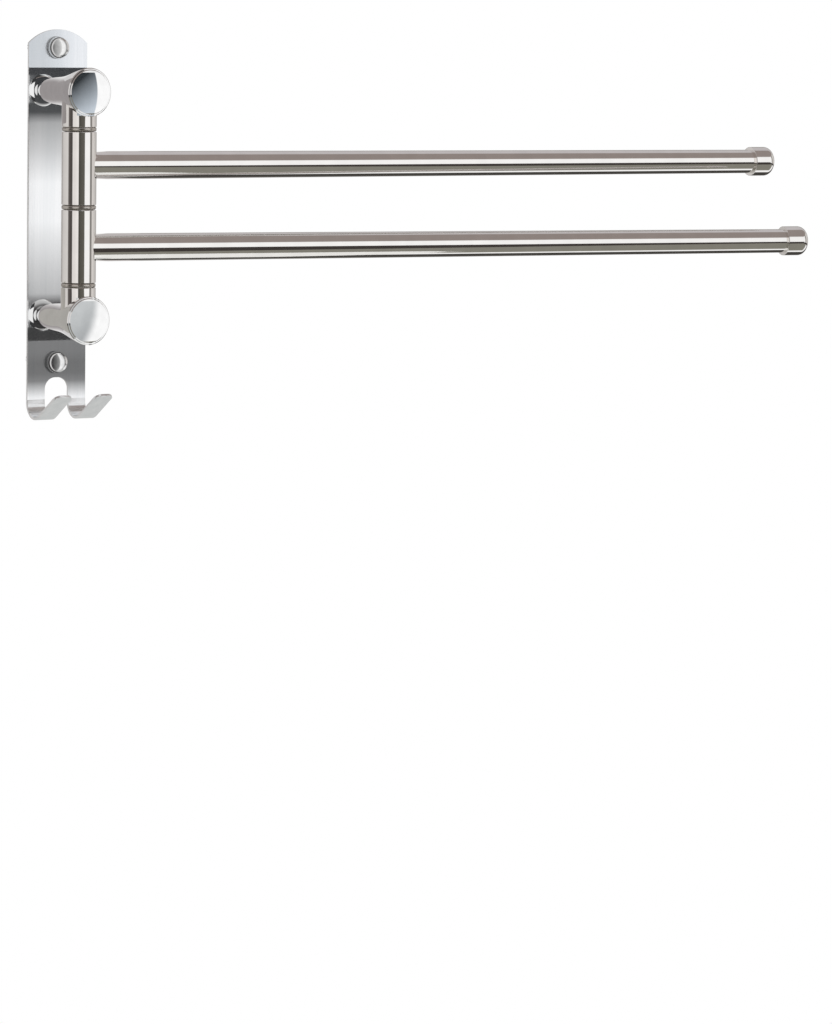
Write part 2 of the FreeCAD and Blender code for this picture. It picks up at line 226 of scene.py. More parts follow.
def makeBrushedSteel():
    settings = brushedSteel
    material, tree, shader = newMaterial("brushedStainlessSheet")
    place = addNode(tree, "ShaderNodeTexCoord")
    layers = []
    for cell, detail in ((settings["grain"], 3.0), (settings["broad"], 2.0)):
        stretched = addNode(tree, "ShaderNodeMapping", inputs={"Scale": [1 / (size * mm) for size in cell]},
                            links={"Vector": place.outputs["Object"]})
        layers.append(addNode(tree, "ShaderNodeTexNoise", inputs={"Scale": 1.0, "Detail": detail},
                              links={"Vector": stretched.outputs[0]}))
    lines, broad = layers
    both = addNode(tree, "ShaderNodeMath", {"operation": "ADD"},
                   links={0: lines.outputs[0], 1: broad.outputs[0]})
    shade = addNode(tree, "ShaderNodeMapRange", inputs={"From Min": 0.6, "From Max": 1.4},
                    links={"Value": both.outputs[0]})
    colour = addNode(tree, "ShaderNodeMix", {"data_type": "RGBA"},
                     {6: toLinear(settings["dark"]), 7: toLinear(settings["light"])}, {0: shade.outputs[0]})
    low, high = settings["roughness"]
    rough = addNode(tree, "ShaderNodeMapRange",
                    inputs={"From Min": 0.3, "From Max": 0.7, "To Min": low, "To Max": high},
                    links={"Value": lines.outputs[0]})
    bump = addNode(tree, "ShaderNodeBump",
                   inputs={"Strength": settings["bump"], "Distance": settings["bumpDepth"] * mm},
                   links={"Height": lines.outputs[0]})
    acrossGrain = addNode(tree, "ShaderNodeCombineXYZ", inputs={"X": 1.0})
    shader.inputs["Metallic"].default_value = 1.0
    shader.inputs["Anisotropic"].default_value = settings["anisotropy"]
    tree.links.new(colour.outputs[2], shader.inputs["Base Color"])
    tree.links.new(rough.outputs[0], shader.inputs["Roughness"])
    tree.links.new(bump.outputs[0], shader.inputs["Normal"])
    tree.links.new(acrossGrain.outputs[0], shader.inputs["Tangent"])
    return material


# A smooth metal or plastic with a faint clouding in its tone and polish. The cells are in millimetres.
def makeClouded(name, dark, light, roughness, cell, metallic=1.0):
    material, tree, shader = newMaterial(name)
    place = addNode(tree, "ShaderNodeTexCoord")
    stretched = addNode(tree, "ShaderNodeMapping", inputs={"Scale": [1 / (size * mm) for size in cell]},
                        links={"Vector": place.outputs["Object"]})
    cloud = addNode(tree, "ShaderNodeTexNoise", inputs={"Scale": 1.0, "Detail": 3.0},
                    links={"Vector": stretched.outputs[0]})
    shade = addNode(tree, "ShaderNodeMapRange", inputs={"From Min": 0.3, "From Max": 0.7},
                    links={"Value": cloud.outputs[0]})
    colour = addNode(tree, "ShaderNodeMix", {"data_type": "RGBA"}, {6: toLinear(dark), 7: toLinear(light)},
                     {0: shade.outputs[0]})
    rough = addNode(tree, "ShaderNodeMapRange", inputs={"To Min": roughness[0], "To Max": roughness[1]},
                    links={"Value": shade.outputs[0]})
    shader.inputs["Metallic"].default_value = metallic
    tree.links.new(colour.outputs[2], shader.inputs["Base Color"])
    tree.links.new(rough.outputs[0], shader.inputs["Roughness"])
    return material


materials = {
    "plate_steel": makeBrushedSteel(),
    # Chrome plating over a cast post: bright, with a little softness left in its reflections.
    "post_chrome": makeClouded("chromePlatedPost", "#e9e9e9", "#f1f1f1", (0.05, 0.09), (6, 6, 6)),
    # Chrome plating over drawn tube: a near mirror.
    "bright_chrome": makeClouded("chromePlatedTube", "#efedeb", "#f5f3f1", (0.03, 0.06), (9, 9, 9)),
    # Turned steel rings, left from the lathe: duller and warmer than the tubes.
    "ring_steel": makeClouded("turnedSteelRing", "#b5b0aa", "#c9c4be", (0.18, 0.26), (4, 4, 0.4)),
    # Chrome plating over pressed sheet: bright, with softened reflections.
    "screw_chrome": makeClouded("platedScrewCover", "#e6e6e6", "#f2f2f2", (0.16, 0.22), (2, 2, 2)),
    # Zinc-plated fasteners: a pale blue-grey with cloudy patches.
    "zinc_steel": makeClouded("zincPlatedSteel", "#9fa5ac", "#bcc1c6", (0.30, 0.45), (1.5, 1.5, 1.5)),
    # Bright drawn steel bar with fine lengthwise lines.
    "axle_steel": makeClouded("drawnSteelBar", "#a4a4a2", "#bdbdbb", (0.20, 0.32), (0.5, 0.5, 20)),
    # Acetal bushes: off-white, slightly waxy.
    "bush_plastic": makeClouded("mouldedAcetal", "#dcdad2", "#e8e6df", (0.40, 0.44), (3, 3, 3), 0.0),
    # Nylon wall plugs: matt grey.
    "plug_plastic": makeClouded("mouldedNylon", "#8a8c8e", "#999b9d", (0.52, 0.58), (3, 3, 3), 0.0),
}
for record in frame["record"]["subparts"]:
    node = frame["nodes"][record["node"]]
    node.data.materials.clear()
    node.data.materials.append(materials[record["material_slot"]])
print("materials made")


# Back plate

# The arch is cut off at archFootZ, a little below its shoulders, and the plate is drawn down from there.
plate = dict(width=38.6, thickness=1.5, archFootZ=90.2, shoulderZ=92.2, apexZ=100.0, hookWidth=11.7,
             bendZ=-115.3, bendInnerRadius=8.2, riseAngle=32.8, tongueLength=24.5, tipRadius=4.0,
             notchTopZ=-101.3, notchCorner=6.8, edgeRound=0.25)
fixing = dict(screwZ=(89.5, -92.5), screwHole=3.25, boltX=-9.7, boltZ=(65.0, -65.0), boltHead=4.0,
              boltShank=2.5)


# A test for edges that lie level at a height.
def atHeight(level):
    return lambda middle: abs(middle.z - level) < near


def makeBackPlate():
    half = plate["width"] / 2
    rise = plate["apexZ"] - plate["shoulderZ"]
    archRadius = (half ** 2 + rise ** 2) / (2 * rise)
    archZ = plate["apexZ"] - archRadius
    notchHalf = half - plate["hookWidth"]
    deselectAll()
    # a disc of the arch's radius, cut down to the arch
    bpy.ops.mesh.primitive_circle_add(
        vertices=360, radius=archRadius * mm, fill_type="NGON",
        location=(0, 0, archZ * mm), rotation=(math.pi / 2, 0, 0),
    )
    piece = nameIt("backPlate")
    bpy.ops.object.transform_apply(location=True, rotation=True, scale=True)
    bpy.ops.object.mode_set(mode="EDIT")
    for side in (-1, 1):
        bpy.ops.mesh.select_all(action="SELECT")
        bpy.ops.mesh.bisect(plane_co=(side * half * mm, 0, 0), plane_no=(side, 0, 0), clear_outer=True)
    bpy.ops.mesh.select_all(action="SELECT")
    bpy.ops.mesh.bisect(plane_co=(0, 0, plate["archFootZ"] * mm), plane_no=(0, 0, -1), clear_outer=True)

    # down to the notch, then the two strips down to the bend
    pick(piece, "edges", atHeight(plate["archFootZ"]))
    extrude(0, 0, plate["notchTopZ"] - plate["archFootZ"])
    for side in (-1, 1):
        bpy.ops.mesh.select_all(action="SELECT")
        bpy.ops.mesh.bisect(plane_co=(side * notchHalf * mm, 0, 0), plane_no=(1, 0, 0))
    pick(piece, "edges", lambda m: abs(m.z - plate["notchTopZ"]) < near and abs(m.x) > notchHalf)
    extrude(0, 0, plate["bendZ"] - plate["notchTopZ"])
    bpy.ops.mesh.select_all(action="SELECT")
    bpy.ops.mesh.dissolve_faces()
    pick(piece, "verts", lambda m: abs(m.z - plate["notchTopZ"]) < near and abs(abs(m.x) - notchHalf) < near)
    bpy.ops.mesh.bevel(offset=plate["notchCorner"] * mm, segments=16, affect="VERTICES")

    # round the bend and up the tongue
    outerRadius = plate["thickness"] + plate["bendInnerRadius"]
    bendY = -outerRadius
    bendTurn = math.radians(90 + plate["riseAngle"])
    pick(piece, "edges", atHeight(plate["bendZ"]))
    bpy.ops.mesh.spin(steps=36, angle=bendTurn, center=(0, bendY * mm, plate["bendZ"] * mm), axis=(1, 0, 0))
    slope = math.radians(plate["riseAngle"])
    along = Vector((0, -math.cos(slope), math.sin(slope))) * plate["tongueLength"]
    extrude(*along)
    fromCentre = outerRadius * Vector((0, math.cos(bendTurn), -math.sin(bendTurn)))
    tip = Vector((0, bendY, plate["bendZ"])) + fromCentre + along
    pick(piece, "verts", lambda m: abs(m.y - tip.y) < near and abs(m.z - tip.z) < near)
    bpy.ops.mesh.bevel(offset=plate["tipRadius"] * mm, segments=12, affect="VERTICES")
    bpy.ops.mesh.select_all(action="SELECT")
    bpy.ops.mesh.remove_doubles(threshold=1e-6)
    bpy.ops.mesh.normals_make_consistent(inside=False)
    # the sheet lies where the plate's back is and faces the wall, so that its thickness grows outwards
    shape = bmesh.from_edit_mesh(piece.data)
    largest = max(shape.faces, key=lambda face: face.calc_area())
    if largest.normal.y < 0:
        bpy.ops.mesh.select_all(action="SELECT")
        bpy.ops.mesh.flip_normals()
    bpy.ops.object.mode_set(mode="OBJECT")
    applyModifier(piece, "SOLIDIFY", thickness=plate["thickness"] * mm, offset=-1, use_even_offset=True)
    applyModifier(piece, "BEVEL", width=plate["edgeRound"] * mm, segments=2, limit_method="ANGLE",
                  angle_limit=math.radians(50))

    # holes for the wall screws, and countersinks at the back for the posts' bolts
    cutters = []
    deep = 4 * plate["thickness"]
    for z in fixing["screwZ"]:
        bpy.ops.mesh.primitive_cylinder_add(
            vertices=48, radius=fixing["screwHole"] * mm, depth=deep * mm, location=(0, 0, z * mm),
            rotation=(math.pi / 2, 0, 0),
        )
        cutters.append(nameIt("screwHole"))
    for z in fixing["boltZ"]:
        bpy.ops.mesh.primitive_cone_add(
            vertices=48, radius1=fixing["boltHead"] * mm, radius2=fixing["boltShank"] * mm,
            depth=plate["thickness"] * mm, rotation=(math.pi / 2, 0, 0),
            location=(fixing["boltX"] * mm, -plate["thickness"] / 2 * mm, z * mm),
        )
        cutters.append(nameIt("countersink"))
    cutAway(piece, cutters)
    finishPiece(piece, "root", "plate_steel", "back_plate")


makeBackPlate()
print("back plate made")


# Wall screws' washers and covers

washer = dict(radius=6.3, thickness=1.4, edge=0.6, bossRadius=4.7, bossHeight=1.0, bore=2.2, seat=3.7,
              cone=1.7)
cover = dict(radius=5.4, skirt=2.3, rimStep=0.6, bevel=0.35, height=3.9)


def makeScrewCovers():
    for place, z in zip(("upper", "lower"), fixing["screwZ"]):
        foot = Vector((0, -plate["thickness"], z))
        top = washer["thickness"] + washer["bossHeight"]
        seatFoot = top - washer["cone"]
        edge = washer["edge"]
        outline = [(0, washer["bore"]), (0, washer["radius"])]
        outline += arc((washer["thickness"] - edge, washer["radius"] - edge), edge, 0, 90, 8)
        outline += [
            (washer["thickness"], washer["bossRadius"]), (top, washer["bossRadius"]), (top, washer["seat"]),
            (seatFoot, washer["bore"]), (0, washer["bore"]),
        ]
        piece = turnPiece(place + "ScrewWasher", outline, foot, outward, 96, closed=True)
        finishPiece(piece, "root", "screw_chrome", place + "_screw_washer")

        base = foot + outward * washer["thickness"]
        radius = cover["radius"]
        outline = [(0, washer["bossRadius"]), (0, radius), (cover["skirt"] - cover["bevel"], radius)]
        outline += domeArc(cover["skirt"], radius - cover["rimStep"], cover["height"], 24)
        piece = turnPiece(place + "ScrewCover", outline, base, outward, 96)
        finishPiece(piece, "root", "screw_chrome", place + "_screw_cover")


makeScrewCovers()
print("screw covers made")


# Posts with their foot rings and end caps

# A post has the given radii at these shares of its length. The foot ring's seat is its flat top, and its bore
# is a little smaller than the post's foot.
post = dict(x=-9.7, z=65.0, length=56.0, footRadius=5.3, endRadius=13.9, bevel=0.5, recess=12.9,
            recessDepth=2.5, shares=(0.17, 0.32, 0.48, 0.65, 0.82), radii=(7.2, 7.9, 8.6, 10.2, 12.2))
footRing = dict(radius=9.2, thickness=1.8, edge=0.4, seat=5.6, bore=4.3)
postCap = dict(radius=12.9, edge=0.5, bulge=2.2, skirt=2.5)


# A natural cubic curve through the points, read at the wanted places. The bends are its second derivatives.
def smoothThrough(xs, ys, wanted):
    xs = np.array(xs, float)
    ys = np.array(ys, float)
    count = len(xs)
    gaps = np.diff(xs)
    system = np.zeros((count, count))
    known = np.zeros(count)
    system[0, 0] = system[-1, -1] = 1
    for i in range(1, count - 1):
        system[i, i - 1:i + 2] = (gaps[i - 1], 2 * (gaps[i - 1] + gaps[i]), gaps[i])
        known[i] = 6 * ((ys[i + 1] - ys[i]) / gaps[i] - (ys[i] - ys[i - 1]) / gaps[i - 1])
    bends = np.linalg.solve(system, known)
    values = []
    for x in wanted:
        i = int(np.clip(np.searchsorted(xs, x) - 1, 0, count - 2))
        before, after, gap = x - xs[i], xs[i + 1] - x, gaps[i]
        values.append(
            (bends[i] * after ** 3 + bends[i + 1] * before ** 3) / (6 * gap)
            + (ys[i] / gap - bends[i] * gap / 6) * after
            + (ys[i + 1] / gap - bends[i + 1] * gap / 6) * before
        )
    return values


def postOutline():
    footDepth = plate["thickness"] + footRing["thickness"]
    rimBack = post["length"] - post["bevel"]
    span = post["length"] - footDepth
    knotsAlong = [footDepth] + [footDepth + span * share for share in post["shares"]] + [rimBack]
    knotsRadius = [post["footRadius"], *post["radii"], post["endRadius"]]
    along = list(np.linspace(footDepth, rimBack, 44))
    return [
        *zip(along, smoothThrough(knotsAlong, knotsRadius, along)),
        (post["length"], post["endRadius"] - post["bevel"]),
        (post["length"], post["recess"]),
        (post["length"] - post["recessDepth"], post["recess"]),
    ]


# A low dome: an upright edge, then a round that meets the flat seat smoothly.
def footRingOutline():
    start = plate["thickness"]
    top = start + footRing["thickness"]
    rise = footRing["thickness"] - footRing["edge"]
    run = footRing["radius"] - footRing["seat"]
    roundRadius = (run ** 2 + rise ** 2) / (2 * rise)
    rimAngle = math.degrees(math.acos(run / roundRadius))
    return [
        (start, footRing["radius"]),
        *arc((top - roundRadius, footRing["seat"]), roundRadius, rimAngle, 90, 16),
        (top, footRing["bore"]),
    ]


def postCapOutline():
    end = post["length"]
    radius = postCap["radius"]
    return [
        (end - postCap["skirt"], radius),
        (end, radius),
        *domeArc(end + postCap["edge"], radius - postCap["edge"], end + postCap["bulge"], 40),
    ]


def makePosts():
    made = []
    for place, side in (("upper", 1), ("lower", -1)):
        centre = Vector((post["x"], 0, side * post["z"]))
        piece = turnPiece(place + "Post", postOutline(), centre, outward, 160)
        finishPiece(piece, "root", "post_chrome", place + "_post")
        made.append(piece)
        piece = turnPiece(place + "FootRing", footRingOutline(), centre, outward, 128)
        finishPiece(piece, "root", "post_chrome", place + "_foot_ring")
        piece = turnPiece(place + "PostCap", postCapOutline(), centre, outward, 160)
        finishPiece(piece, "root", "post_chrome", place + "_post_cap")
    return made


posts = makePosts()
print("posts made")


# Barrel: end collars coped to the posts, spacer rings and the two arms' sleeves

# The pitch is from one spacer ring's middle to the next.
barrel = dict(y=-43.7, z=-0.7, radius=10.0, axle=4.05, sleeveWall=1.5, ringRadius=9.9, ringThickness=2.5,
              ringRound=0.9, pitch=44.5, gap=0.15, edge=0.25)


# A loose copy, on no body, for cutting with.
def copyOf(piece):
    twin = piece.copy()
    twin.data = piece.data.copy()
    bpy.context.scene.collection.objects.link(twin)
    twin.parent = None
    twin.matrix_world = Matrix.Identity(4)
    return twin


# The closed outline of a straight tube with broken edges.
def tubeOutline(low, high, radius, bore, edge):
    return [
        (low, bore), (low, radius - edge), (low + edge, radius), (high - edge, radius),
        (high, radius - edge), (high, bore), (low, bore),
    ]


def makeBarrel():
    centre = Vector((post["x"], barrel["y"], 0))
    radius = barrel["radius"]
    halfRing = barrel["ringThickness"] / 2
    for (place, side), postPiece in zip((("upper", 1), ("lower", -1)), posts):
        start = barrel["z"] + side * (barrel["pitch"] + halfRing)
        length = post["z"] - abs(start)
        outline = [(0, barrel["axle"]), (0, radius - barrel["edge"]), (barrel["edge"], radius),
                   (length, radius), (length, barrel["axle"]), (0, barrel["axle"])]
        piece = turnPiece(place + "EndCollar", outline, centre + upward * start, upward * side, closed=True)
        cutAway(piece, [copyOf(postPiece)])
        finishPiece(piece, "root", "bright_chrome", place + "_end_collar")
    for place, steps in (("upper", 1), ("middle", 0), ("lower", -1)):
        z = barrel["z"] + steps * barrel["pitch"]
        big = barrel["ringRadius"]
        small = barrel["ringRound"]
        outline = [(-halfRing, barrel["axle"]), (-halfRing, big - small)]
        outline += arc((-halfRing + small, big - small), small, -90, 0, 8)
        outline += arc((halfRing - small, big - small), small, 0, 90, 8)
        outline += [(halfRing, barrel["axle"]), (-halfRing, barrel["axle"])]
        piece = turnPiece(place + "SpacerRing", outline, centre + upward * z, upward, closed=True)
        finishPiece(piece, "root", "ring_steel", place + "_spacer_ring")
    gap = halfRing + barrel["gap"]
    spans = {
        "upper_arm": (barrel["z"] + gap, barrel["z"] + barrel["pitch"] - gap),
        "lower_arm": (barrel["z"] - barrel["pitch"] + gap, barrel["z"] - gap),
    }
    for body, (low, high) in spans.items():
        outline = tubeOutline(low, high, radius, radius - barrel["sleeveWall"], barrel["edge"])
        name = body.replace("_arm", "Arm") + "Sleeve"
        piece = turnPiece(name, outline, centre, upward, closed=True)
        finishPiece(piece, body, "bright_chrome", body + "_sleeve")


makeBarrel()
print("barrel made")


# Swing arms

# Lengths run from the axle. A tube starts inside its sleeve and is coped to it, weldDepth deep.
arm = dict(heights={"upper_arm": 23.2, "lower_arm": -23.7}, angles={"upper_arm": 3.6, "lower_arm": 8.75},
           reach=473.3, rootRadius=8.0, rootLength=14.0, endRadius=7.1, wall=1.2, tubeEnd=468.3,
           weldDepth=0.02)
armCap = dict(radius=8.8, length=16.0, round=5.0, dome=1.0, rimRound=0.4, bore=6.1)


def makeArms():
    for body, z in arm["heights"].items():
        turn = math.radians(arm["angles"][body])
        along = Vector((math.cos(turn), -math.sin(turn), 0))
        root = Vector((post["x"], barrel["y"], z))
        name = body.replace("_arm", "Arm")
        wall = arm["wall"]
        outline = [
            (0, arm["rootRadius"] - wall), (0, arm["rootRadius"]), (arm["rootLength"], arm["rootRadius"]),
            (arm["tubeEnd"], arm["endRadius"]), (arm["tubeEnd"], arm["endRadius"] - wall),
            (arm["rootLength"], arm["rootRadius"] - wall), (0, arm["rootRadius"] - wall),
        ]
        piece = turnPiece(name + "Tube", outline, root, along, 160, closed=True)
        bpy.ops.mesh.primitive_cylinder_add(
            vertices=160, radius=(barrel["radius"] - arm["weldDepth"]) * mm, depth=4 * arm["rootRadius"] * mm,
            location=root * mm,
        )
        cutAway(piece, [nameIt("cope")])
        finishPiece(piece, body, "bright_chrome", body + "_tube", 12)

        reach = arm["reach"]
        rim = reach - armCap["length"]
        shoulder = reach - armCap["round"] - armCap["dome"]
        radius = armCap["radius"]
        rimRound = armCap["rimRound"]
        outline = [(rim, armCap["bore"]), (rim, radius - rimRound)]
        outline += arc((rim + rimRound, radius - rimRound), rimRound, -90, 0, 5)[1:]
        outline += arc((shoulder, radius - armCap["round"]), armCap["round"], 0, 90, 24)
        outline += domeArc(shoulder + armCap["round"], radius - armCap["round"], reach, 10)[1:]
        piece = turnPiece(name + "EndCap", outline, root, along, 128)
        finishPiece(piece, body, "bright_chrome", body + "_end_cap", 22)


makeArms()
print("arms made")


# Studio: floor, light and the room that the metal mirrors

floorSettings = dict(size=1.4, place=(0.2, -0.3, -1.6), colour="#f2f2f0", roughness=0.9)  # in metres
# The room that the metal mirrors. Its colours go by compass direction, in degrees from straight ahead of the
# wall, positive to the right. Heights are sines of the angle from eye level: eyeLevel gives way to above over
# aboveFrom, and a dark line runs round the room from lineTop to lineFoot, over the colours below eye level.
room = dict(
    eyeLevel=[
        (-180, "#9c9896"), (-150, "#d0cdcb"), (-106, "#dcd9d7"), (-101, "#6a6563"), (-90, "#55504e"),
        (-75, "#4c4846"), (-69.5, "#efebe9"), (-60, "#e6e2e0"), (-33.5, "#f6f3f1"), (-29, "#3a3833"),
        (-20, "#57554f"), (8, "#64625b"), (11, "#ffffff"), (47, "#ffffff"), (50, "#83807c"), (63, "#8c8986"),
        (69, "#dfdbd8"), (100, "#cac7c4"), (130, "#a8a5a2"), (180, "#9c9896"),
    ],
    above=[
        (-180, "#c4c0c1"), (-118, "#c4c0c1"), (-108, "#948a86"), (96, "#948a86"), (102, "#c4c0c1"),
        (180, "#c4c0c1"),
    ],
    below=[
        (-180, "#b8b6b2"), (-112, "#b8b6b2"), (-105, "#85837a"), (64, "#85837a"), (70, "#ffffff"),
        (95, "#ffffff"), (99, "#3a3835"), (140, "#4a4845"), (150, "#b8b6b2"), (180, "#b8b6b2"),
    ],
    lineTop=[
        (-180, 0.30), (-112, 0.30), (-105, 0.17), (8, 0.17), (11, 0.09), (22, 0.085), (30, 0.075), (34, 0.17),
        (105, 0.17), (112, 0.30), (180, 0.30),
    ],
    lineFoot=[
        (-180, 0.30), (8, 0.30), (11, 0.60), (19, 0.60), (22, 0.20), (30, 0.40), (34, 0.30), (180, 0.30),
    ],
    lineColour="#3f3a38",
    lineBlur=0.015,
    aboveFrom=(0.46, 0.54),
)


# Sets a colour ramp's stops, given as (place, tone) between low and high. A tone is a colour or a number.
def fillRamp(node, stops, low, high):
    ramp = node.color_ramp
    while len(ramp.elements) < len(stops):
        ramp.elements.new(0.5)
    for element, (place, tone) in zip(ramp.elements, stops):
        element.position = min(1, max(0, (place - low) / (high - low)))
        element.color = toLinear(tone) if isinstance(tone, str) else (tone, tone, tone, 1)


# The metal mirrors the room, and everything else sees plain white.
def makeWorld():
    world = bpy.data.worlds.new("studioRoom")
    bpy.context.scene.world = world
    world.use_nodes = True
    tree = world.node_tree
    tree.nodes.clear()
    place = addNode(tree, "ShaderNodeTexCoord")
    parts = addNode(tree, "ShaderNodeSeparateXYZ", links={0: place.outputs["Generated"]})
    ahead = addNode(tree, "ShaderNodeMath", {"operation": "MULTIPLY"}, {1: -1.0}, {0: parts.outputs["Y"]})
    compass = addNode(tree, "ShaderNodeMath", {"operation": "ARCTAN2"},
                      links={0: parts.outputs["X"], 1: ahead.outputs[0]})
    turn = addNode(tree, "ShaderNodeMapRange", inputs={"From Min": -math.pi, "From Max": math.pi},
                   links={"Value": compass.outputs[0]})
    ramps = {}
    for part in ("eyeLevel", "above", "below", "lineTop", "lineFoot"):
        ramp = addNode(tree, "ShaderNodeValToRGB", links={"Fac": turn.outputs[0]})
        fillRamp(ramp, room[part], -180, 180)
        ramps[part] = ramp.outputs[0]
    low, high = room["aboveFrom"]
    rise = addNode(tree, "ShaderNodeMapRange", {"interpolation_type": "SMOOTHSTEP"},
                   {"From Min": low, "From Max": high}, {"Value": parts.outputs["Z"]})
    past = {}
    for edge in ("lineTop", "lineFoot"):
        height = addNode(tree, "ShaderNodeMath", {"operation": "ADD"},
                         links={0: parts.outputs["Z"], 1: ramps[edge]})
        past[edge] = addNode(tree, "ShaderNodeMapRange", {"interpolation_type": "SMOOTHSTEP"},
                             {"From Min": -room["lineBlur"], "From Max": room["lineBlur"]},
                             {"Value": height.outputs[0]})
    upper = addNode(tree, "ShaderNodeMix", {"data_type": "RGBA"},
                    links={0: rise.outputs[0], 6: ramps["eyeLevel"], 7: ramps["above"]})
    lined = addNode(tree, "ShaderNodeMix", {"data_type": "RGBA"}, {6: toLinear(room["lineColour"])},
                    {0: past["lineTop"].outputs[0], 7: upper.outputs[2]})
    whole = addNode(tree, "ShaderNodeMix", {"data_type": "RGBA"},
                    links={0: past["lineFoot"].outputs[0], 6: ramps["below"], 7: lined.outputs[2]})
    mirrored = addNode(tree, "ShaderNodeBackground", inputs={"Strength": 1.0},
                       links={"Color": whole.outputs[2]})
    white = addNode(tree, "ShaderNodeBackground", inputs={"Color": (1, 1, 1, 1), "Strength": 1.0})
    path = addNode(tree, "ShaderNodeLightPath")
    mix = addNode(tree, "ShaderNodeMixShader",
                  links={0: path.outputs["Is Glossy Ray"], 1: white.outputs[0], 2: mirrored.outputs[0]})
    addNode(tree, "ShaderNodeOutputWorld", links={0: mix.outputs[0]})


def makeFloor():
    deselectAll()
    bpy.ops.mesh.primitive_plane_add(size=floorSettings["size"], location=floorSettings["place"])
    floor = nameIt("studioFloor")
    material, tree, shader = newMaterial("paleMattFloor")
    shader.inputs["Base Color"].default_value = toLinear(floorSettings["colour"])
    shader.inputs["Roughness"].default_value = floorSettings["roughness"]
    floor.data.materials.append(material)


# Cards that only the metal sees, upright and facing the wall. The tones that face the plate run up the card
# or across it. The other side is what the posts, barrel and arms mirror, with tones from left to right.
# The cards' tones are painted reflections: the white ones paint highlights and the dark ones paint shade on
# the metal.
paleBack = [(-40, "#d8d6d6"), (52, "#d8d6d6")]
plateCards = {
    # painted reflection on the top of the plate: blue-grey on the left, near white on the right
    "upperPlateCard": dict(
        span=(-40, 40), height=(78, 106), y=-3.2, run="across",
        tones=[(-40, "#d0d4d8"), (-8, "#d3d7db"), (4, "#e6e9ed"), (12, "#f4f6f9"), (40, "#f6f8fa")],
        backTones=paleBack,
    ),
    # painted reflection and shadow of the posts: dark bands on the plate behind both posts, and grey shade
    # fading to white between them; its back paints grey-to-white tones on the posts, barrel and arms
    "middlePlateCard": dict(
        span=(-17, 52), height=(-80.5, 79), y=-9.0, run="up",
        tones=[
            (-80, "#363636"), (-70, "#3a3a3a"), (-59, "#4e4c4c"), (-53, "#c0c0c0"), (-40, "#d2d2d2"),
            (-30, "#e2e2e2"), (-20, "#f0f0f0"), (-11, "#ffffff"), (11, "#ffffff"), (30, "#d2d2d2"),
            (46, "#b0b0b0"), (52, "#4c4d4e"), (66, "#424446"), (79, "#36373a"),
        ],
        backTones=[
            (-16, "#a09b9b"), (-13, "#b4b0b0"), (-8, "#dcd9d9"), (2, "#ffffff"), (27, "#ffffff"),
            (30, "#c4c0bf"), (52, "#c0bcbb"),
        ],
    ),
    # painted shade on the plate below the lower post: grey, fading to white downwards
    "lowerPlateCard": dict(
        span=(-40, 40), height=(-114, -80), y=-3.2, run="up",
        tones=[
            (-113, "#fafafa"), (-108.5, "#cccccc"), (-103.5, "#868686"), (-99, "#747474"), (-93, "#727272"),
            (-87, "#7c7c7c"), (-80, "#7e7e7e"),
        ],
        backTones=paleBack,
    ),
    # painted reflection left of each post: dark painted shade, with a white painted highlight stripe at the
    # foot ring's height; the back paints a warm grey on the metal in front
    "upperPostCard": dict(
        span=(-70, -16.5), height=(46, 86), y=-9.05, run="up",
        tones=[
            (46, "#38393a"), (57, "#38393a"), (58, "#ffffff"), (73, "#ffffff"), (74, "#38393a"),
            (86, "#38393a"),
        ],
        backTones=[(-70, "#918d8d"), (-16, "#a09b9b")],
    ),
    "lowerPostCard": dict(
        span=(-70, -16.5), height=(-86, -46), y=-9.05, run="up",
        tones=[
            (-86, "#38393a"), (-73, "#38393a"), (-72, "#ffffff"), (-57, "#ffffff"), (-56, "#38393a"),
            (-46, "#38393a"),
        ],
        backTones=[(-70, "#a3a19c"), (-16, "#b2afaa")],
    ),
    # painted shade: dark discs just over the washers, so that the washers and the plate close around them
    # mirror dark
    "upperWasherCard": dict(
        span=(-7.3, 6.5), height=(83.0, 96.0), y=-3.12, run="up", disc=True,
        tones=[(83, "#4a4a4a"), (96, "#6a6a6a")], backTones=[(-7.3, "#3c3c3c"), (6.5, "#6a6a6a")],
    ),
    "lowerWasherCard": dict(
        span=(-7.3, 6.5), height=(-99.0, -86.0), y=-3.12, run="up", disc=True,
        tones=[(-99, "#2e2e2e"), (-86, "#3e3e3e")], backTones=[(-7.3, "#2c2c2c"), (6.5, "#565656")],
    ),
    # painted reflection on the screw covers: dark on the left, a white painted highlight just right of the
    # middle, and grey fading to dark on the right
    "upperCoverCard": dict(
        span=(-40, 14), height=(79.5, 99.5), y=-7.7, run="across",
        tones=[
            (-40, "#333333"), (-8, "#3c3c3c"), (-6, "#9a9a9a"), (-2, "#c0c0c0"), (-0.5, "#d8d8d8"),
            (0.3, "#ffffff"), (3.5, "#ffffff"), (5, "#d0d0d0"), (9, "#8a8a8a"), (14, "#4a4a4a"),
        ],
        backTones=paleBack,
    ),
    "lowerCoverCard": dict(
        span=(-40, 14), height=(-102.5, -82.5), y=-7.7, run="across",
        tones=[
            (-40, "#2a2a2a"), (-6, "#3a3a3a"), (-3, "#6a6a6a"), (-0.5, "#9a9a9a"), (0.3, "#ffffff"),
            (4, "#f4f4f4"), (7, "#b4b4b4"), (10, "#6a6a6a"), (14, "#3a3a3a"),
        ],
        backTones=paleBack,
    ),
}
